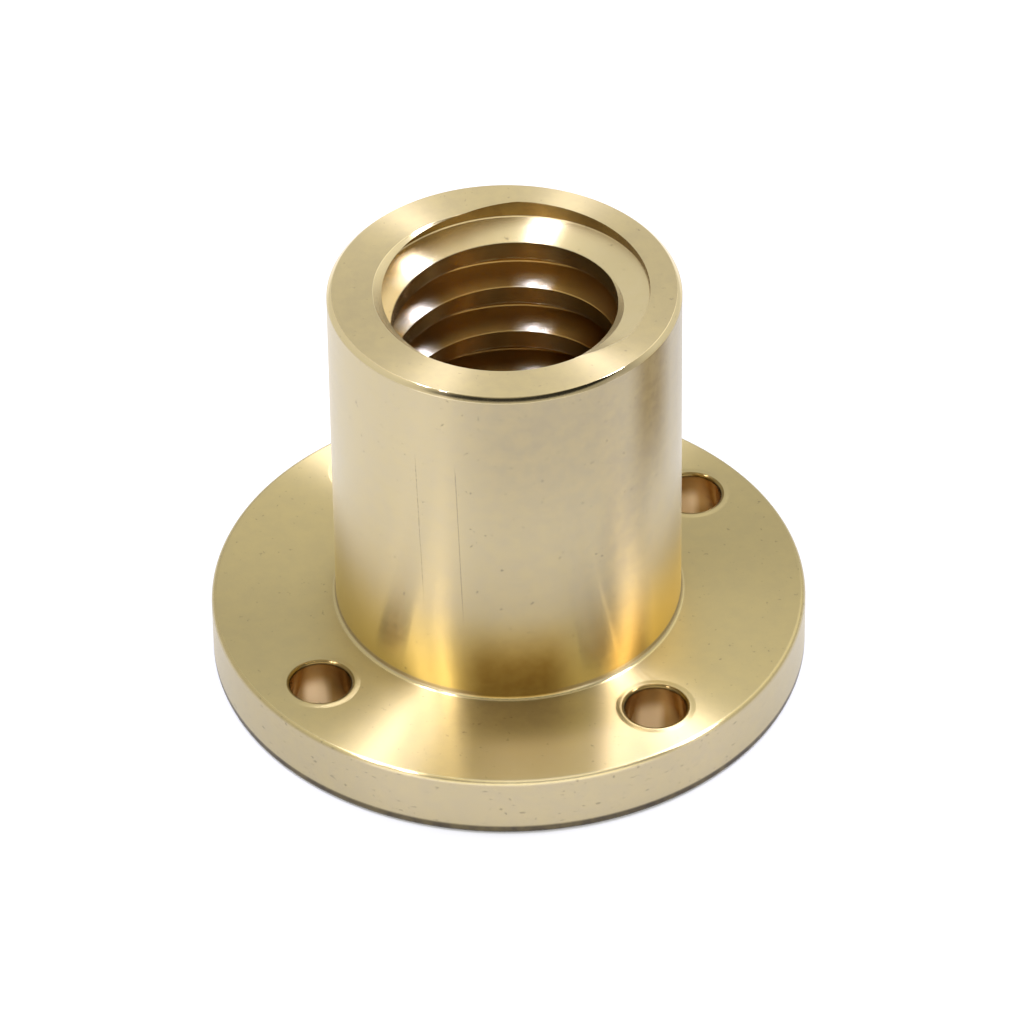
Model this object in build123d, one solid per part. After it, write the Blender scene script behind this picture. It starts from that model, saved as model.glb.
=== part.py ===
"""Lead screw nut: a round-flanged brass nut with a left-hand trapezoidal thread, turned in one piece from bar.

The origin is the centre of the flange's underside, and +Z runs along the thread's axis, out of the body.
All sizes are millimetres and degrees.
"""

import os
from math import ceil, radians, tan

from build123d import *
from build123d.topology import SkipClean

# Body and flange, as turned
BODY_DIAMETER = 25.0
FLANGE_DIAMETER = 43.0
FLANGE_THICKNESS = 4.8
TOTAL_HEIGHT = 32.0
BODY_EDGE_CHAMFER = 0.35
FLANGE_EDGE_CHAMFER = 0.25
CORNER_FILLET = 0.3

# Bolt holes for M4 screws, midway between the body and the edge of the flange
HOLE_COUNT = 4
FIRST_HOLE_ANGLE = 45.0
BOLT_DIAMETER = 4.0
BOLT_CLEARANCE = 0.4
HOLE_DEBURR = 0.2

# Trapezoidal thread for a 20 mm screw of 4 mm pitch, one start
SCREW_DIAMETER = 20.0
PITCH = 4.0
ROOT_CLEARANCE = 0.25
FLANK_ANGLE = 15.0
LEFT_HAND = True
MOUTH_CHAMFER = 1.25
# Where the middle of the groove comes out through the top face
GROOVE_START_ANGLE = 31.0

# Sizes that follow from those above
BODY_RADIUS = BODY_DIAMETER / 2
FLANGE_RADIUS = FLANGE_DIAMETER / 2
HOLE_RADIUS = (BOLT_DIAMETER + BOLT_CLEARANCE) / 2
HOLE_CIRCLE_RADIUS = (BODY_RADIUS + FLANGE_RADIUS) / 2
CREST_RADIUS = (SCREW_DIAMETER - PITCH) / 2
PITCH_RADIUS = (SCREW_DIAMETER - PITCH / 2) / 2
ROOT_RADIUS = SCREW_DIAMETER / 2 + ROOT_CLEARANCE
QUARTER_TURN = 90


def turned_blank():
    """The outside as it leaves the lathe: flange and body with broken edges and a filleted corner between them."""
    corner = (BODY_RADIUS, FLANGE_THICKNESS)
    outline = Polyline(
        (0, 0),
        (FLANGE_RADIUS - FLANGE_EDGE_CHAMFER, 0),
        (FLANGE_RADIUS, FLANGE_EDGE_CHAMFER),
        (FLANGE_RADIUS, FLANGE_THICKNESS - FLANGE_EDGE_CHAMFER),
        (FLANGE_RADIUS - FLANGE_EDGE_CHAMFER, FLANGE_THICKNESS),
        corner,
        (BODY_RADIUS, TOTAL_HEIGHT - BODY_EDGE_CHAMFER),
        (BODY_RADIUS - BODY_EDGE_CHAMFER, TOTAL_HEIGHT),
        (0, TOTAL_HEIGHT),
        close=True,
    )
    section = make_face(outline)
    section = fillet(section.vertices().sort_by_distance(corner)[0], CORNER_FILLET)
    return revolve(Plane.XZ * section, Axis.Z)


def chamfered_hole(radius, length, chamfer, turn=360):
    """What is cut away for a round hole up from the origin, with a 45 degree chamfer at both of its mouths."""
    outline = Polyline(
        (0, 0),
        (radius + chamfer, 0),
        (radius, chamfer),
        (radius, length - chamfer),
        (radius + chamfer, length),
        (0, length),
        close=True,
    )
    return revolve(Plane.XZ * make_face(outline), Axis.Z, turn)


def groove_half_width(radius):
    """Half the thread groove's width: a quarter of the pitch at the pitch radius, less towards the root."""
    return PITCH / 4 - (radius - PITCH_RADIUS) * tan(radians(FLANK_ANGLE))


def thread_groove():
    """The trapezoidal groove on its helix, one turn at a time, from above the top face to below the underside."""
    inside = CREST_RADIUS - ROOT_CLEARANCE
    outline = Polyline(
        (inside, -groove_half_width(inside)),
        (ROOT_RADIUS, -groove_half_width(ROOT_RADIUS)),
        (ROOT_RADIUS, groove_half_width(ROOT_RADIUS)),
        (inside, groove_half_width(inside)),
        close=True,
    )
    path = Helix(PITCH, PITCH, PITCH_RADIUS, lefthand=LEFT_HAND)
    one_turn = Rot(0, 0, GROOVE_START_ANGLE) * sweep(Plane.XZ * make_face(outline), path, is_frenet=True)
    turns = ceil(TOTAL_HEIGHT / PITCH) + 2
    return [Pos(0, 0, TOTAL_HEIGHT - turn * PITCH) * one_turn for turn in range(turns)]


bolt_hole = chamfered_hole(HOLE_RADIUS, FLANGE_THICKNESS, HOLE_DEBURR)
hole_places = PolarLocations(HOLE_CIRCLE_RADIUS, HOLE_COUNT, start_angle=FIRST_HOLE_ANGLE)
nut = turned_blank() - [place * bolt_hole for place in hole_places]

# The bore is cut in quarter turns, and the thread's crests stay split there, so that each is a simple face
bore_quarter = chamfered_hole(CREST_RADIUS, TOTAL_HEIGHT, MOUTH_CHAMFER, QUARTER_TURN)
with SkipClean():
    nut = nut - [Rot(0, 0, quarter * QUARTER_TURN) * bore_quarter for quarter in range(4)]
    nut = nut - thread_groove()

os.makedirs("parts", exist_ok=True)
export_step(nut, "parts/flanged_nut.step")
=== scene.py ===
"""Looks of the lead screw nut: a turned brass nut with a round flange and a left-hand trapezoidal thread."""

from math import cos, pi, radians, sin, tan

import bmesh
import bpy
from mathutils import Euler, Matrix, Vector


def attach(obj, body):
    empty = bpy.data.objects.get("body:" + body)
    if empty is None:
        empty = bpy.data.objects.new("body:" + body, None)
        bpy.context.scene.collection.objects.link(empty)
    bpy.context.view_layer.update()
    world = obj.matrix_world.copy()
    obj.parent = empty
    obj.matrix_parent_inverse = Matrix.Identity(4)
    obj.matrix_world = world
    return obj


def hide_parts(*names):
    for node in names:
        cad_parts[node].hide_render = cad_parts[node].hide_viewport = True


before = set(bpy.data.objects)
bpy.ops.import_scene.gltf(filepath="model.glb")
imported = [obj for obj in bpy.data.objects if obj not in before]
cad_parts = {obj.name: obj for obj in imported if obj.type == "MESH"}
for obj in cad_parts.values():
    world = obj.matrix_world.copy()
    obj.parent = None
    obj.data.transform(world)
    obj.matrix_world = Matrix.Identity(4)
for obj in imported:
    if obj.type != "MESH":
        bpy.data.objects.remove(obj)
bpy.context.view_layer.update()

# Nut blank
# The outside of the nut and its plain bore, turned from brass bar on a lathe. The flange is part of the body,
# and every corner is broken, apart from the small radius that the tool leaves between body and flange.
MM = 0.001
BODY_RADIUS = 12.5 * MM
FLANGE_RADIUS = 21.5 * MM
FLANGE_THICKNESS = 4.8 * MM
NUT_HEIGHT = 32.0 * MM
BODY_CHAMFER = 0.35 * MM
FLANGE_CHAMFER = 0.25 * MM
CORNER_RADIUS = 0.3 * MM
CORNER_SEGMENTS = 5
BODY_EDGE = 0.04 * MM
BODY_EDGE_SEGMENTS = 2
FLANGE_EDGE = 0.15 * MM
FLANGE_EDGE_SEGMENTS = 4
CREST_RADIUS = 8.0 * MM
MOUTH_CHAMFER = 1.25 * MM
BLANK_STEPS = 192
SPIN_MERGE = 0.0001 * MM
CORNER_MATCH = 0.001 * MM

scene = bpy.context.scene


def turned(name, outline, steps, rounded=()):
    """A closed outline of radius and height, spun about Z; rounded lists (corner, radius, segments)."""
    bm = bmesh.new()
    corners = [bm.verts.new((radius, 0, height)) for radius, height in outline]
    loop = [bm.edges.new((corners[i - 1], corners[i])) for i in range(len(corners))]
    bmesh.ops.spin(
        bm, geom=corners + loop, cent=(0, 0, 0), axis=(0, 0, 1), angle=2 * pi, steps=steps, use_merge=True
    )
    bmesh.ops.remove_doubles(bm, verts=bm.verts, dist=SPIN_MERGE)
    for corner, radius, segments in rounded:
        target = Vector(corner)
        circle = []
        for edge in bm.edges:
            away = [(Vector((vert.co.xy.length, vert.co.z)) - target).length for vert in edge.verts]
            if max(away) < CORNER_MATCH:
                circle.append(edge)
        bmesh.ops.bevel(
            bm, geom=circle, offset=radius, segments=segments, profile=0.5, affect="EDGES", material=-1
        )
    bmesh.ops.recalc_face_normals(bm, faces=bm.faces)
    mesh = bpy.data.meshes.new(name)
    bm.to_mesh(mesh)
    bm.free()
    piece = bpy.data.objects.new(name, mesh)
    scene.collection.objects.link(piece)
    return piece


mouth_radius = CREST_RADIUS + MOUTH_CHAMFER
inner_corner = (BODY_RADIUS, FLANGE_THICKNESS)
flange_outline = [
    (FLANGE_RADIUS - FLANGE_CHAMFER, 0),
    (FLANGE_RADIUS, FLANGE_CHAMFER),
    (FLANGE_RADIUS, FLANGE_THICKNESS - FLANGE_CHAMFER),
    (FLANGE_RADIUS - FLANGE_CHAMFER, FLANGE_THICKNESS),
]
body_outline = [
    (BODY_RADIUS, NUT_HEIGHT - BODY_CHAMFER),
    (BODY_RADIUS - BODY_CHAMFER, NUT_HEIGHT),
    (mouth_radius, NUT_HEIGHT),
]
bore_outline = [(CREST_RADIUS, NUT_HEIGHT - MOUTH_CHAMFER), (CREST_RADIUS, MOUTH_CHAMFER)]
blank_outline = [(mouth_radius, 0)] + flange_outline + [inner_corner] + body_outline + bore_outline
softened = [(corner, FLANGE_EDGE, FLANGE_EDGE_SEGMENTS) for corner in flange_outline]
softened.append((inner_corner, CORNER_RADIUS, CORNER_SEGMENTS))
softened += [(corner, BODY_EDGE, BODY_EDGE_SEGMENTS) for corner in body_outline]
nut = turned("brass_nut", blank_outline, BLANK_STEPS, softened)

# Bolt holes
# Four plain holes for screws, drilled through the flange on one circle. Each mouth has a rounded edge, and
# on top the drill has pushed up a low ring of metal around it.
HOLE_RADIUS = 2.2 * MM
HOLE_CIRCLE = (BODY_RADIUS + FLANGE_RADIUS) / 2
HOLE_ANGLES = (45, 135, 225, 315)
HOLE_STEPS = 64
LIP_WIDTH = 0.2 * MM
LIP_DEPTH = 0.2 * MM
LIP_STEPS = 6
DRILL_OVERRUN = 1.0 * MM
RING_RADIUS = 2.95 * MM
RING_HEIGHT = 0.035 * MM
RING_STEPS = 4
RING_DEPTH = 0.3 * MM
RING_SINK = 0.002 * MM


def around_flange(piece):
    """Moves a tool's mesh out to the first hole and repeats it at the others."""
    bm = bmesh.new()
    bm.from_mesh(piece.data)
    to_first_hole = Matrix.Rotation(radians(HOLE_ANGLES[0]), 3, "Z")
    bmesh.ops.translate(bm, vec=(HOLE_CIRCLE, 0, 0), verts=bm.verts)
    bmesh.ops.rotate(bm, cent=(0, 0, 0), matrix=to_first_hole, verts=bm.verts)
    bmesh.ops.spin(
        bm,
        geom=list(bm.verts) + list(bm.edges) + list(bm.faces),
        cent=(0, 0, 0),
        axis=(0, 0, 1),
        angle=radians(HOLE_ANGLES[-1] - HOLE_ANGLES[0]),
        steps=len(HOLE_ANGLES) - 1,
        use_duplicate=True,
    )
    bm.to_mesh(piece.data)
    bm.free()


lip_curve = []
for step in range(LIP_STEPS + 1):
    round_lip = step / LIP_STEPS * pi / 2
    lip_curve.append((HOLE_RADIUS + LIP_WIDTH * (1 - cos(round_lip)), 1 - sin(round_lip)))
lip_radius = HOLE_RADIUS + LIP_WIDTH
ring_top = FLANGE_THICKNESS + RING_HEIGHT
hole_outline = [(0, -DRILL_OVERRUN), (lip_radius, -DRILL_OVERRUN)]
hole_outline += [(radius, LIP_DEPTH * share) for radius, share in reversed(lip_curve)]
hole_outline += [(radius, ring_top - (LIP_DEPTH + RING_HEIGHT) * share) for radius, share in lip_curve]
hole_outline += [(lip_radius, ring_top + DRILL_OVERRUN), (0, ring_top + DRILL_OVERRUN)]
drill = turned("drill", hole_outline, HOLE_STEPS)
around_flange(drill)

ring_outline = [(RING_RADIUS, FLANGE_THICKNESS - RING_DEPTH), (HOLE_RADIUS, FLANGE_THICKNESS - RING_DEPTH)]
ring_outline.append((HOLE_RADIUS, ring_top))
for step in range(RING_STEPS + 1):
    out = step / RING_STEPS
    fall = out * out * (3 - 2 * out)
    rise = RING_HEIGHT * (1 - fall) - RING_SINK * out
    ring_outline.append((lip_radius + (RING_RADIUS - lip_radius) * out, FLANGE_THICKNESS + rise))
pushed_ring = turned("pushed_ring", ring_outline, HOLE_STEPS)
around_flange(pushed_ring)

# Thread groove
# The trapezoidal groove of the left-hand thread, cut inside the bore on the lathe at 4 mm for each turn.
# It falls as it goes round counter-clockwise seen from above, and its crests have their sharp edge taken off.
PITCH = 4.0 * MM
PITCH_RADIUS = 9.0 * MM
ROOT_RADIUS = 10.25 * MM
FLANK_ANGLE = radians(15)
CREST_EDGE = 0.05 * MM
ROOT_CORNER = 0.06 * MM
GROOVE_START = radians(31)
GROOVE_TURNS = 10
TURN_STEPS = 120
GROOVE_OVERLAP = 0.4 * MM


def half_width(radius):
    """Half the groove's width, a quarter of the pitch at the pitch radius."""
    return PITCH / 4 - (radius - PITCH_RADIUS) * tan(FLANK_ANGLE)


upper_half = [
    (CREST_RADIUS - GROOVE_OVERLAP, half_width(CREST_RADIUS) + CREST_EDGE + GROOVE_OVERLAP),
    (CREST_RADIUS + CREST_EDGE, half_width(CREST_RADIUS + CREST_EDGE)),
    (ROOT_RADIUS - ROOT_CORNER, half_width(ROOT_RADIUS - ROOT_CORNER)),
    (ROOT_RADIUS, half_width(ROOT_RADIUS) - ROOT_CORNER),
]
groove_outline = upper_half + [(radius, -rise) for radius, rise in reversed(upper_half)]
groove_top = NUT_HEIGHT + PITCH
bm = bmesh.new()
groove_corners = [bm.verts.new((radius, 0, groove_top + rise)) for radius, rise in groove_outline]
groove_face = bm.faces.new(groove_corners)
bmesh.ops.rotate(bm, cent=(0, 0, 0), matrix=Matrix.Rotation(GROOVE_START, 3, "Z"), verts=bm.verts)
bmesh.ops.spin(
    bm,
    geom=list(bm.verts) + list(bm.edges) + [groove_face],
    cent=(0, 0, 0),
    axis=(0, 0, 1),
    dvec=(0, 0, -PITCH / TURN_STEPS),
    angle=2 * pi * GROOVE_TURNS,
    steps=TURN_STEPS * GROOVE_TURNS,
)
bmesh.ops.recalc_face_normals(bm, faces=bm.faces)
groove_mesh = bpy.data.meshes.new("thread_groove")
bm.to_mesh(groove_mesh)
bm.free()
groove = bpy.data.objects.new("thread_groove", groove_mesh)
scene.collection.objects.link(groove)

# Machined nut
# The rings join the blank, and holes and groove come out of it, which leaves the finished nut as one piece of
# metal. Its faces are shaded smooth and its corners stay crisp.
SHARP_CORNER = radians(28)
CUT_MERGE = 0.0002 * MM
LARGE_FACES_FIRST = 100

for tool, operation in ((pushed_ring, "UNION"), (drill, "DIFFERENCE"), (groove, "DIFFERENCE")):
    work = nut.modifiers.new(tool.name, "BOOLEAN")
    work.operation = operation
    work.solver = "EXACT"
    work.object = tool
machined = bpy.data.meshes.new_from_object(nut.evaluated_get(bpy.context.evaluated_depsgraph_get()))
nut.modifiers.clear()
nut.data = machined
for tool in (pushed_ring, drill, groove):
    bpy.data.objects.remove(tool)
bm = bmesh.new()
bm.from_mesh(nut.data)
bmesh.ops.remove_doubles(bm, verts=bm.verts, dist=CUT_MERGE)
for face in bm.faces:
    face.smooth = True
for edge in bm.edges:
    edge.smooth = edge.calc_face_angle(0) < SHARP_CORNER
bm.to_mesh(nut.data)
bm.free()
even_shading = nut.modifiers.new("even_shading", "WEIGHTED_NORMAL")
even_shading.keep_sharp = True
even_shading.weight = LARGE_FACES_FIRST

# Brass
# Bare brass as the lathe leaves it: fine rings of tool marks spread each highlight, with grain, specks, nicks
# and two long scratches. Painted light lies in its colour too: painted shade, a dark painted reflection and
# golden painted reflections on the body, and painted shade, highlights and reflections on the flange, holes
# and thread.
# Heights and radii here are in millimetres, and angles around the nut in degrees from X.
WALL_COLOUR = (0.575, 0.487, 0.304, 1)
# Painted shade: the body's front and its top are darker than the rest of its wall.
BODY_FRONT_SHADE_COLOUR = (0.47, 0.397, 0.249, 1)
BODY_TOP_SHADE_COLOUR = (0.397, 0.333, 0.211, 1)
# Painted reflection of the nut's shadow on the table: a dark band high on the body.
SHADOW_REFLECTION_COLOUR = (0.215, 0.145, 0.047, 1)
# Painted reflection of the flange: the body's lower part is golden. Random mottling uses this colour too.
FOOT_REFLECTION_AND_MOTTLE_COLOUR = (0.71, 0.56, 0.21, 1)
# Painted reflection of the flange's bright highlight, golden low on the body's right.
GOLD_REFLECTION_COLOUR = (0.91, 0.645, 0.165, 1)
# Painted shade: a darker band down the body at one angle.
SHADE_BAND_COLOUR = (0.42, 0.275, 0.07, 1)
# Painted shade in the front corner between body and flange, on the body's wall.
FOOT_CORNER_SHADE_COLOUR = (0.29, 0.175, 0.037, 1)
RIM_COLOUR = (0.416, 0.338, 0.166, 1)
CHAMFER_COLOUR = (0.76, 0.63, 0.36, 1)
# Painted shade on the front of the top face's chamfer.
SHADED_CHAMFER_COLOUR = (0.36, 0.29, 0.16, 1)
FLANGE_COLOUR = (0.485, 0.393, 0.19, 1)
FLANGE_SIDE_COLOUR = (0.49, 0.413, 0.262, 1)
# Painted shade on the flange in the front corner by the body.
FLANGE_CORNER_SHADE_COLOUR = (0.355, 0.285, 0.135, 1)
# Painted highlight on the flange's outer front.
FRONT_HIGHLIGHT_COLOUR = (0.73, 0.61, 0.35, 1)
DRILLED_COLOUR = (0.45, 0.27, 0.08, 1)
# Painted reflection of the table low inside each hole.
HOLE_REFLECTION_COLOUR = (0.93, 0.72, 0.38, 1)
# Painted shade round the top of each hole's wall.
LIP_SHADE_COLOUR = (0.17, 0.11, 0.035, 1)
# Painted shade on the thread's roots and crests, darker at the mouth.
THREAD_WALL_SHADE_COLOUR = (0.36, 0.20, 0.05, 1)
MOUTH_WALL_SHADE_COLOUR = (0.22, 0.135, 0.04, 1)
FLANK_COLOUR = (0.54, 0.34, 0.105, 1)
# Painted highlights on two patches of the thread's flanks.
FLANK_HIGHLIGHT_COLOUR = (0.88, 0.80, 0.62, 1)
# A burr along the crest's edge, with its highlight painted as a lighter line.
BURR_HIGHLIGHT_COLOUR = (0.50, 0.36, 0.16, 1)
# Dark colour of specks, nicks and scratches, and of the painted shade along the bottom of the flange's side.
MARK_AND_SHADE_COLOUR = (0.08, 0.065, 0.05, 1)
# Angles round the nut and its holes where painted shade, reflections and highlights lie.
SHADOW_REFLECTION_ANGLE = -27
SHADE_BAND_ANGLE = -40
SHADED_CHAMFER_ANGLE = -72
FRONT_HIGHLIGHT_ANGLE = -73
CORNER_SHADE_ANGLE = -80
RIGHT_HIGHLIGHT_ANGLE = 83
LEFT_HIGHLIGHT_ANGLE = 147
HOLE_REFLECTION_ANGLE = 108
BODY_START = 5.4
FLANGE_END = 5.2
SCRATCHES = [
    {"angle": -112.0, "top": 26.4, "bottom": 11.0, "lean": 0.0028, "depth": 0.42},
    {"angle": -98.2, "top": 26.0, "bottom": 10.0, "lean": 0.0024, "depth": 0.5},
]
SCRATCH_WIDTHS = (0.0045, 0.0015)
SCRATCH_WANDER = 0.006
MARK_SHARE = 0.35
MOTTLE_SHARE = 0.12
RIM_METALLIC = 0.58
WALL_ROUGHNESS = 0.24
HOLE_ROUGHNESS = 0.20
BORE_ROUGHNESS = 0.27
FACE_ROUGHNESS = {"body": 0.55, "flange": 0.30}
EDGE_ROUGHNESS = {"body": 0.07, "flange": 0.20}
GRAIN_DEPTH = {"body": 0.08, "flange": 0.03}
BUMP_STRENGTH = 0.06
BUMP_HEIGHT = 0.02 * MM
SMOOTHER_PARTS = 0.8

brass = bpy.data.materials.new("turned_brass")
brass.use_nodes = True
nodes = brass.node_tree.nodes
links = brass.node_tree.links
metal = nodes["Principled BSDF"]
metal.inputs["Anisotropic"].default_value = 1.0
metal.inputs["Anisotropic Rotation"].default_value = 0.25


def wire(value, socket):
    """Links another node's output to a socket, or sets a constant on it."""
    if isinstance(value, bpy.types.NodeSocket):
        links.new(value, socket)
    else:
        socket.default_value = value


def maths(operation, first, second=0.0, third=0.0):
    """The result of a Math node."""
    node = nodes.new("ShaderNodeMath")
    node.operation = operation
    for socket, value in zip(node.inputs, (first, second, third)):
        wire(value, socket)
    return node.outputs[0]


def vector_maths(operation, *given):
    """A Vector Math node with its inputs set."""
    node = nodes.new("ShaderNodeVectorMath")
    node.operation = operation
    for socket, value in zip(node.inputs, given):
        wire(value, socket)
    return node


def ramp(value, start, end, at_start=0.0, at_end=1.0):
    """The value as it goes from start to end, eased and kept between at_start and at_end."""
    node = nodes.new("ShaderNodeMapRange")
    node.interpolation_type = "SMOOTHSTEP"
    for socket, given in zip(node.inputs, (value, start, end, at_start, at_end)):
        wire(given, socket)
    return node.outputs[0]


def around(turn, centre, outer, inner):
    """1 within inner degrees of a place around the nut or a hole, and 0 beyond outer degrees."""
    away = maths("ABSOLUTE", maths("SUBTRACT", turn, radians(centre)))
    return ramp(away, radians(outer), radians(inner))


def product(share, *others):
    """Shares multiplied together."""
    for other in others:
        share = maths("MULTIPLY", share, other)
    return share


def between(share, first, second):
    """Two values blended, the second by its share."""
    return maths("MULTIPLY_ADD", share, maths("SUBTRACT", second, first), first)


def mixed(share, first, second):
    """Two colours mixed, the second by its share."""
    node = nodes.new("ShaderNodeMix")
    node.data_type = "RGBA"
    wire(share, node.inputs["Factor"])
    wire(first, node.inputs["A"])
    wire(second, node.inputs["B"])
    return node.outputs["Result"]


def split(vector):
    """A vector's X, Y and Z."""
    node = nodes.new("ShaderNodeSeparateXYZ")
    links.new(vector, node.inputs[0])
    return node.outputs


def noise(where, scale, detail, roughness=0.5, dimensions="3D"):
    """The value of a Noise Texture."""
    node = nodes.new("ShaderNodeTexNoise")
    node.noise_dimensions = dimensions
    node.inputs["Scale"].default_value = scale
    node.inputs["Detail"].default_value = detail
    node.inputs["Roughness"].default_value = roughness
    links.new(where, node.inputs["Vector"])
    return node.outputs["Fac"]


def unrolled(across, up):
    """Two values as a place on a flat pattern."""
    node = nodes.new("ShaderNodeCombineXYZ")
    links.new(across, node.inputs["X"])
    links.new(up, node.inputs["Y"])
    return node.outputs[0]


# Where a point lies on the nut, and how level its face is
on_nut = nodes.new("ShaderNodeTexCoord")
place_mm = vector_maths("MULTIPLY", on_nut.outputs["Object"], (1 / MM,) * 3).outputs[0]
place_axes = split(place_mm)
height_mm = place_axes["Z"]
angle = maths("ARCTAN2", place_axes["Y"], place_axes["X"])
from_axis = vector_maths("MULTIPLY", place_mm, (1, 1, 0)).outputs[0]
radius_mm = vector_maths("LENGTH", from_axis).outputs["Value"]
levelness = maths("ABSOLUTE", split(on_nut.outputs["Normal"])["Z"])
flat = ramp(levelness, 0.35, 0.75)
upright = maths("SUBTRACT", 1.0, flat)
sloped = product(flat, ramp(levelness, 0.98, 0.9))


def body_or_flange(on_body, on_flange):
    """A value that differs between the body and the flange."""
    return ramp(height_mm, BODY_START, FLANGE_END, on_body, on_flange)


# Which part of the nut it is
in_flange = body_or_flange(0.0, 1.0)
below_rim = product(ramp(height_mm, 31.98, 31.9), ramp(height_mm, 0.02, 0.1))
in_bore = product(ramp(radius_mm, 10.6, 10.4), below_rim)
in_thread = product(in_bore, maths("MAXIMUM", ramp(height_mm, 30.8, 27.5), upright))
on_wall = product(ramp(radius_mm, 12.3, 12.45), ramp(radius_mm, 12.7, 12.55))
on_rim = product(maths("SUBTRACT", flat, sloped), ramp(height_mm, 31.88, 31.98))
pitch_mm = PITCH / MM
helix = maths("MULTIPLY_ADD", angle, pitch_mm / (2 * pi), height_mm)
in_pitch = maths("MULTIPLY", maths("FRACT", maths("DIVIDE", helix, pitch_mm)), pitch_mm)

# Where it lies from the nearest bolt hole
quarter = vector_maths("SIGN", from_axis).outputs[0]
hole_offset = -HOLE_CIRCLE / MM * sin(radians(HOLE_ANGLES[0]))
from_hole = vector_maths("MULTIPLY_ADD", quarter, (hole_offset,) * 3, from_axis).outputs[0]
hole_distance = vector_maths("LENGTH", from_hole).outputs["Value"]
hole_axes = split(from_hole)
hole_angle = maths("ARCTAN2", hole_axes["Y"], hole_axes["X"])
drilled = product(in_flange, ramp(hole_distance, 2.46, 2.42))
in_hole = product(in_flange, ramp(hole_distance, 2.30, 2.22))

# Tool marks, round the nut and round each hole
round_nut = vector_maths("CROSS_PRODUCT", (0, 0, 1), place_mm).outputs[0]
round_hole = vector_maths("CROSS_PRODUCT", (0, 0, 1), from_hole).outputs[0]
tool_way = nodes.new("ShaderNodeMix")
tool_way.data_type = "VECTOR"
wire(drilled, tool_way.inputs[0])
links.new(round_nut, tool_way.inputs[4])
links.new(round_hole, tool_way.inputs[5])
links.new(tool_way.outputs[1], metal.inputs["Tangent"])
feed = maths("ADD", radius_mm, between(in_bore, height_mm, in_pitch))
ring_place = unrolled(maths("MULTIPLY", feed, 9.0), maths("MULTIPLY", angle, 1.2))
tool_rings = noise(ring_place, 1.0, 4.0, 0.6, "2D")

# Mottling, specks, nicks on the flange's side and scratches on the body
mottle = noise(place_mm, 0.8, 5.0, 0.65)
specks = ramp(noise(place_mm, 2.6, 2.0), 0.69, 0.76)
nick_place = unrolled(maths("MULTIPLY", angle, 24.0), maths("MULTIPLY", height_mm, 3.2))
nick_noise = noise(nick_place, 1.0, 3.0, dimensions="2D")
nicks = product(ramp(nick_noise, 0.68, 0.77), ramp(radius_mm, 21.3, 21.4))
scratches = 0.0
for scratch in SCRATCHES:
    middle = (scratch["top"] + scratch["bottom"]) / 2
    from_middle = maths("SUBTRACT", middle, height_mm)
    drift = maths("MULTIPLY_ADD", from_middle, scratch["lean"], radians(scratch["angle"]))
    wander = maths("MULTIPLY_ADD", mottle, SCRATCH_WANDER, -SCRATCH_WANDER / 2)
    aside = maths("ABSOLUTE", maths("SUBTRACT", angle, maths("ADD", drift, wander)))
    line = ramp(aside, *SCRATCH_WIDTHS)
    upper_end = ramp(height_mm, scratch["top"], scratch["top"] - 1.5)
    lower_end = ramp(height_mm, scratch["bottom"], scratch["bottom"] + 5.0)
    broken = ramp(tool_rings, 0.35, 0.6)
    depth = product(line, upper_end, lower_end, broken)
    scratches = maths("MAXIMUM", scratches, maths("MULTIPLY", depth, scratch["depth"]))
scratches = product(scratches, on_wall)

# Tones of the body: painted shade darkens its front, its top and a band at one angle, a painted reflection of
# the nut's shadow lies on it as a dark band, and painted reflections of the flange make its foot golden
front_shade = mixed(ramp(height_mm, 18.0, 29.0), BODY_FRONT_SHADE_COLOUR, BODY_TOP_SHADE_COLOUR)
shaded = product(ramp(angle, radians(-120), radians(-78)), ramp(angle, radians(160), radians(60)))
body_tone = mixed(shaded, WALL_COLOUR, front_shade)
# Painted shade: a darker band down the whole body.
shade_band = around(angle, SHADE_BAND_ANGLE, 14, 5)
# Painted reflection of a shadow: a dark band down the upper body.
shadow_reflection = product(around(angle, SHADOW_REFLECTION_ANGLE, 14, 2), ramp(height_mm, 16.5, 29.0), on_wall)
upper_tone = mixed(shadow_reflection, mixed(shade_band, body_tone, BODY_TOP_SHADE_COLOUR), SHADOW_REFLECTION_COLOUR)
# Painted reflection of the flange's highlight, golden low on the body's right.
gold_reflection = product(ramp(angle, radians(-36), radians(-26)), ramp(angle, radians(90), radians(10)))
foot_reflection_tone = mixed(shade_band, mixed(gold_reflection, FOOT_REFLECTION_AND_MOTTLE_COLOUR, GOLD_REFLECTION_COLOUR), SHADE_BAND_COLOUR)
# Painted reflection of the flange over the body's lower part.
reflecting_foot = product(ramp(height_mm, 13.5, 6.0), maths("SUBTRACT", 1.0, in_flange))
walls = mixed(in_flange, mixed(reflecting_foot, upper_tone, foot_reflection_tone), FLANGE_SIDE_COLOUR)

# Tones of the top face, its chamfer and the flange, with painted shade on the chamfer's front, a painted
# highlight on the flange's outer front, and painted shade in the front corner between body and flange
shaded_chamfer = around(angle, SHADED_CHAMFER_ANGLE, 50, 28)
chamfer = mixed(shaded_chamfer, CHAMFER_COLOUR, SHADED_CHAMFER_COLOUR)
faces = mixed(in_flange, mixed(on_rim, chamfer, RIM_COLOUR), FLANGE_COLOUR)
# Painted highlight: the flange's outer front is lighter.
front_highlight = product(around(angle, FRONT_HIGHLIGHT_ANGLE, 24, 8), ramp(radius_mm, 15.0, 18.5), in_flange, flat)
tone_with_highlight = mixed(front_highlight, mixed(flat, walls, faces), FRONT_HIGHLIGHT_COLOUR)
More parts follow.
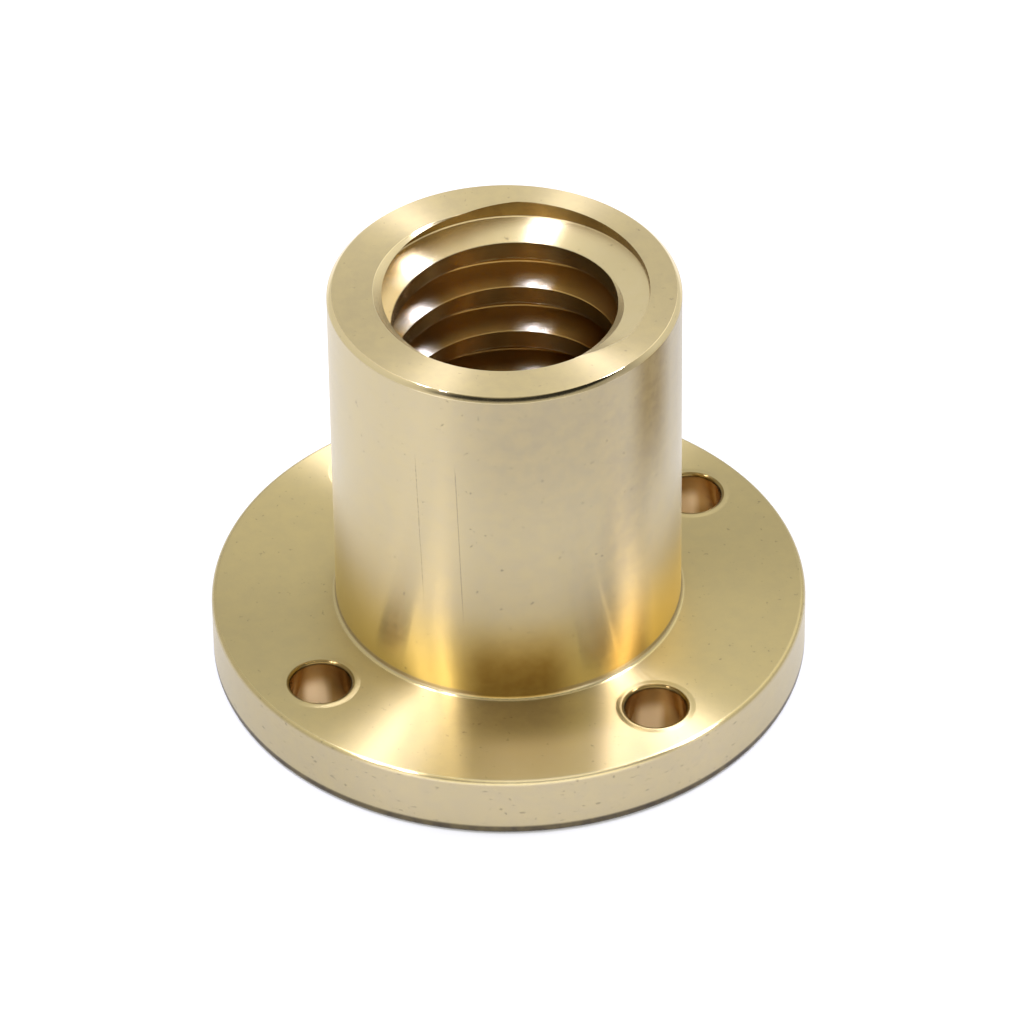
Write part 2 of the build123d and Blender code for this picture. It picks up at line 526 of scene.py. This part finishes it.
# Painted shade in the front corner between body and flange.
near_foot = product(ramp(height_mm, 13.0, 7.0), ramp(radius_mm, 18.0, 14.0))
corner_shade = product(around(angle, CORNER_SHADE_ANGLE, 25, 9), near_foot)
turned_tone = mixed(corner_shade, tone_with_highlight, mixed(flat, FOOT_CORNER_SHADE_COLOUR, FLANGE_CORNER_SHADE_COLOUR))

# Tones of the holes, with a painted reflection of the table low inside each, and painted shade round the top
# of each hole's wall
hole_reflection = product(around(hole_angle, HOLE_REFLECTION_ANGLE, 34, 14), ramp(height_mm, 3.7, 2.4))
hole_tone = mixed(hole_reflection, DRILLED_COLOUR, HOLE_REFLECTION_COLOUR)
# Painted shade round the top of each hole's wall.
shaded_lip = product(drilled, ramp(height_mm, 4.5, 4.62))
outside = mixed(shaded_lip, mixed(in_hole, turned_tone, hole_tone), LIP_SHADE_COLOUR)

# Tones of the thread: painted shade on its roots and crests, darker near the mouth, painted highlights on two
# patches of its flanks, and a burr along one edge of its crest with its highlight painted as a lighter line
# Painted highlights on two patches of the flanks.
right_highlight = around(angle, RIGHT_HIGHLIGHT_ANGLE, 13, 5)
left_highlight = around(angle, LEFT_HIGHLIGHT_ANGLE, 18, 8)
flank_highlights = product(maths("MAXIMUM", right_highlight, left_highlight), ramp(radius_mm, 9.5, 8.7))
flank_tone = mixed(flank_highlights, FLANK_COLOUR, FLANK_HIGHLIGHT_COLOUR)
# Painted shade on the roots and crests, darker near the mouth.
thread_wall_shade = mixed(ramp(height_mm, 29.0, 30.5), THREAD_WALL_SHADE_COLOUR, MOUTH_WALL_SHADE_COLOUR)
# A burr along the crest's edge, with its highlight painted as a lighter line.
burr_highlight_line = product(ramp(in_pitch, 1.55, 1.62), ramp(in_pitch, 1.80, 1.72))
burr_highlight = product(burr_highlight_line, ramp(radius_mm, 8.2, 8.1), ramp(mottle, 0.42, 0.55))
thread_tone = mixed(burr_highlight, mixed(flat, thread_wall_shade, flank_tone), BURR_HIGHLIGHT_COLOUR)

# Marks over all of it, and painted shade along the bottom edge of the flange's side
unmarked = mixed(in_thread, outside, thread_tone)
small_marks = maths("MULTIPLY", maths("MAXIMUM", specks, nicks), MARK_SHARE)
# Painted shade along the bottom of the flange's side.
foot_shadow = product(ramp(height_mm, 0.85, 0.6), ramp(radius_mm, 20.9, 21.2))
marks_and_shade = maths("MAXIMUM", maths("MAXIMUM", small_marks, scratches), foot_shadow)
marked_and_shaded = mixed(marks_and_shade, unmarked, MARK_AND_SHADE_COLOUR)
# Random mottling towards the golden colour of the painted reflection at the body's foot.
colour = mixed(ramp(mottle, 0.3, 0.7, 0.0, MOTTLE_SHARE), marked_and_shaded, FOOT_REFLECTION_AND_MOTTLE_COLOUR)
links.new(colour, metal.inputs["Base Color"])

# Shine
links.new(maths("MULTIPLY_ADD", on_rim, RIM_METALLIC - 1.0, 1.0), metal.inputs["Metallic"])
face_roughness = body_or_flange(FACE_ROUGHNESS["body"], FACE_ROUGHNESS["flange"])
edge_roughness = body_or_flange(EDGE_ROUGHNESS["body"], EDGE_ROUGHNESS["flange"])
level_roughness = between(sloped, face_roughness, edge_roughness)
wall_roughness = maths("MULTIPLY_ADD", in_hole, HOLE_ROUGHNESS - WALL_ROUGHNESS, WALL_ROUGHNESS)
grain_depth = body_or_flange(GRAIN_DEPTH["body"], GRAIN_DEPTH["flange"])
grain = maths("MULTIPLY", maths("SUBTRACT", tool_rings, 0.5), grain_depth)
turned_roughness = maths("ADD", grain, between(flat, wall_roughness, level_roughness))
links.new(between(in_bore, turned_roughness, BORE_ROUGHNESS), metal.inputs["Roughness"])
bump = nodes.new("ShaderNodeBump")
bump.inputs["Strength"].default_value = BUMP_STRENGTH
bump.inputs["Distance"].default_value = BUMP_HEIGHT
smooth_parts = maths("MAXIMUM", maths("MAXIMUM", in_bore, upright), in_flange)
ring_depth = maths("MULTIPLY_ADD", smooth_parts, -SMOOTHER_PARTS, 1.0)
links.new(maths("MULTIPLY", tool_rings, ring_depth), bump.inputs["Height"])
links.new(bump.outputs["Normal"], metal.inputs["Normal"])
nut.data.materials.clear()
nut.data.materials.append(brass)

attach(nut, "root")
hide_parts("flanged_nut")

# Floor
# A plain white table top, wide enough to fill the picture and the reflections in the metal. It shows white to
# the camera and to the metal, and it still takes the nut's soft shadow. Under the nut it has no glow.
FLOOR_SIZE = 6.0
FLOOR_COLOUR = (0.9, 0.9, 0.9, 1)
FLOOR_GLOW = 0.7
NO_GLOW_RADIUS = FLANGE_RADIUS - 0.3 * MM
FULL_GLOW_RADIUS = FLANGE_RADIUS + 0.2 * MM

bm = bmesh.new()
bmesh.ops.create_grid(bm, x_segments=1, y_segments=1, size=FLOOR_SIZE / 2)
floor_mesh = bpy.data.meshes.new("table_top")
bm.to_mesh(floor_mesh)
bm.free()
floor = bpy.data.objects.new("table_top", floor_mesh)
scene.collection.objects.link(floor)
white_top = bpy.data.materials.new("white_top")
white_top.use_nodes = True
top_nodes = white_top.node_tree.nodes
top_links = white_top.node_tree.links
top_nodes.remove(top_nodes["Principled BSDF"])


def top_maths(operation, first, second):
    """The result of a Math node in the table top."""
    node = top_nodes.new("ShaderNodeMath")
    node.operation = operation
    for socket, value in zip(node.inputs, (first, second)):
        if isinstance(value, float):
            socket.default_value = value
        else:
            top_links.new(value, socket)
    return node.outputs[0]


lit = top_nodes.new("ShaderNodeBsdfDiffuse")
lit.inputs["Color"].default_value = FLOOR_COLOUR
glow = top_nodes.new("ShaderNodeEmission")
seen = top_nodes.new("ShaderNodeLightPath").outputs
camera_or_metal = top_maths("MAXIMUM", seen["Is Camera Ray"], seen["Is Glossy Ray"])
camera_metal_or_glass = top_maths("MAXIMUM", camera_or_metal, seen["Is Transmission Ray"])
top_place = top_nodes.new("ShaderNodeTexCoord")
from_centre = top_nodes.new("ShaderNodeVectorMath")
from_centre.operation = "LENGTH"
top_links.new(top_place.outputs["Object"], from_centre.inputs[0])
uncovered = top_nodes.new("ShaderNodeMapRange")
uncovered.inputs["From Min"].default_value = NO_GLOW_RADIUS
uncovered.inputs["From Max"].default_value = FULL_GLOW_RADIUS
top_links.new(from_centre.outputs["Value"], uncovered.inputs["Value"])
glow_share = top_maths("MULTIPLY", camera_metal_or_glass, FLOOR_GLOW)
top_shader = top_nodes.new("ShaderNodeMixShader")
top_links.new(top_maths("MULTIPLY", glow_share, uncovered.outputs["Result"]), top_shader.inputs["Fac"])
top_links.new(lit.outputs[0], top_shader.inputs[1])
top_links.new(glow.outputs[0], top_shader.inputs[2])
top_links.new(top_shader.outputs[0], top_nodes["Material Output"].inputs["Surface"])
floor.data.materials.append(white_top)

# Light
# Five flat, slightly blue lamps hang 0.57 m above the table and face down, three to the left of the nut and
# two to its right. The white room around them has a dark band high on the camera's side, and it glows low in
# front and higher up behind.
ROOM_LEVEL = 0.84
CEILING_LEVEL = 1.30
DARK_SIDE = (0.46, -0.89, 0)
DARK_SHARE = 0.05
FRONT_SIDE = (0.13, -0.99, 0)
FRONT_GLOW = 1.3
BACK_SIDE = (0.40, 0.60, 0.69)
BACK_GLOW = 0.7
CAMERA_TURN = radians(7.5)
LAMP_HEIGHT = 0.57
LAMP_COLOUR = (0.74, 0.75, 1.0)
LAMPS = {
    "left_back": {"x": -0.150, "y": 0.245, "width": 0.036, "length": 0.12, "turn": -27.5, "radiance": 16.0},
    "left_middle": {"x": -0.218, "y": 0.058, "width": 0.040, "length": 0.22, "turn": -28.5, "radiance": 38.0},
    "left_front": {"x": -0.208, "y": -0.085, "width": 0.030, "length": 0.13, "turn": -24.0, "radiance": 68.0},
    "right_back": {"x": 0.170, "y": 0.235, "width": 0.060, "length": 0.19, "turn": 45.0, "radiance": 16.0},
    "right_front": {"x": 0.335, "y": 0.095, "width": 0.100, "length": 0.22, "turn": 52.0, "radiance": 34.0},
}

room = bpy.data.worlds.new("room")
room.use_nodes = True
room_nodes = room.node_tree.nodes
room_links = room.node_tree.links
way = room_nodes.new("ShaderNodeTexCoord").outputs["Generated"]


def room_maths(operation, first, second):
    """The result of a Math node in the room."""
    node = room_nodes.new("ShaderNodeMath")
    node.operation = operation
    for socket, value in zip(node.inputs, (first, second)):
        if isinstance(value, float):
            socket.default_value = value
        else:
            room_links.new(value, socket)
    return node.outputs[0]


def room_ramp(value, start, end, at_start=0.0, at_end=1.0):
    """A value of the room as it goes from start to end, eased and kept between at_start and at_end."""
    node = room_nodes.new("ShaderNodeMapRange")
    node.interpolation_type = "SMOOTHSTEP"
    room_links.new(value, node.inputs["Value"])
    node.inputs["From Min"].default_value = start
    node.inputs["From Max"].default_value = end
    node.inputs["To Min"].default_value = at_start
    node.inputs["To Max"].default_value = at_end
    return node.outputs["Result"]


def towards(side):
    """How far a direction points to one side of the room."""
    node = room_nodes.new("ShaderNodeVectorMath")
    node.operation = "DOT_PRODUCT"
    node.inputs[1].default_value = side
    room_links.new(way, node.inputs[0])
    return node.outputs["Value"]


way_axes = room_nodes.new("ShaderNodeSeparateXYZ")
room_links.new(way, way_axes.inputs[0])
rising = way_axes.outputs["Z"]
ceiling = room_ramp(rising, 0.6, 0.95, ROOM_LEVEL, CEILING_LEVEL)
band = room_maths("MULTIPLY", room_ramp(rising, 0.66, 0.70), room_ramp(rising, 0.91, 0.86))
dark = room_maths("MULTIPLY", band, room_ramp(towards(DARK_SIDE), 0.05, 0.36))
light_left = room_maths("SUBTRACT", 1.0, room_maths("MULTIPLY", dark, 1.0 - DARK_SHARE))
dimmed = room_maths("MULTIPLY", ceiling, light_left)
low_front = room_maths("MULTIPLY", room_ramp(towards(FRONT_SIDE), 0.45, 0.75), room_ramp(rising, 0.66, 0.58))
front_glow = room_maths("MULTIPLY", low_front, FRONT_GLOW)
back_glow = room_maths("MULTIPLY", room_ramp(towards(BACK_SIDE), 0.90, 0.98), BACK_GLOW)
level = room_maths("ADD", dimmed, room_maths("ADD", front_glow, back_glow))
room_links.new(level, room_nodes["Background"].inputs["Strength"])
room_nodes["Background"].inputs["Color"].default_value = (1, 1, 1, 1)
scene.world = room
for name, panel in LAMPS.items():
    light = bpy.data.lights.new(name, "AREA")
    light.shape = "RECTANGLE"
    light.size = panel["width"]
    light.size_y = panel["length"]
    light.energy = panel["radiance"] * pi * panel["width"] * panel["length"] / LAMP_COLOUR[0]
    light.color = LAMP_COLOUR
    lamp = bpy.data.objects.new(name, light)
    lamp.location = Vector((panel["x"], panel["y"], LAMP_HEIGHT))
    lamp.location.rotate(Euler((0, 0, CAMERA_TURN)))
    lamp.rotation_euler = (0, 0, radians(panel["turn"]) + CAMERA_TURN)
    scene.collection.objects.link(lamp)

# Camera
# A long lens, 0.54 m from the nut, looking down at it at about 39 degrees.
LENS = 262.45
SENSOR_WIDTH = 36.0
CAMERA_PLACE = (0.05437, -0.41048, 0.35237)
CAMERA_ANGLES = (50.557, 0.600, 7.006)

camera_data = bpy.data.cameras.new("camera")
camera_data.lens = LENS
camera_data.sensor_width = SENSOR_WIDTH
camera = bpy.data.objects.new("camera", camera_data)
camera.location = CAMERA_PLACE
camera.rotation_euler = [radians(turn) for turn in CAMERA_ANGLES]
scene.collection.objects.link(camera)
scene.camera = camera
scene.view_settings.view_transform = "Standard"
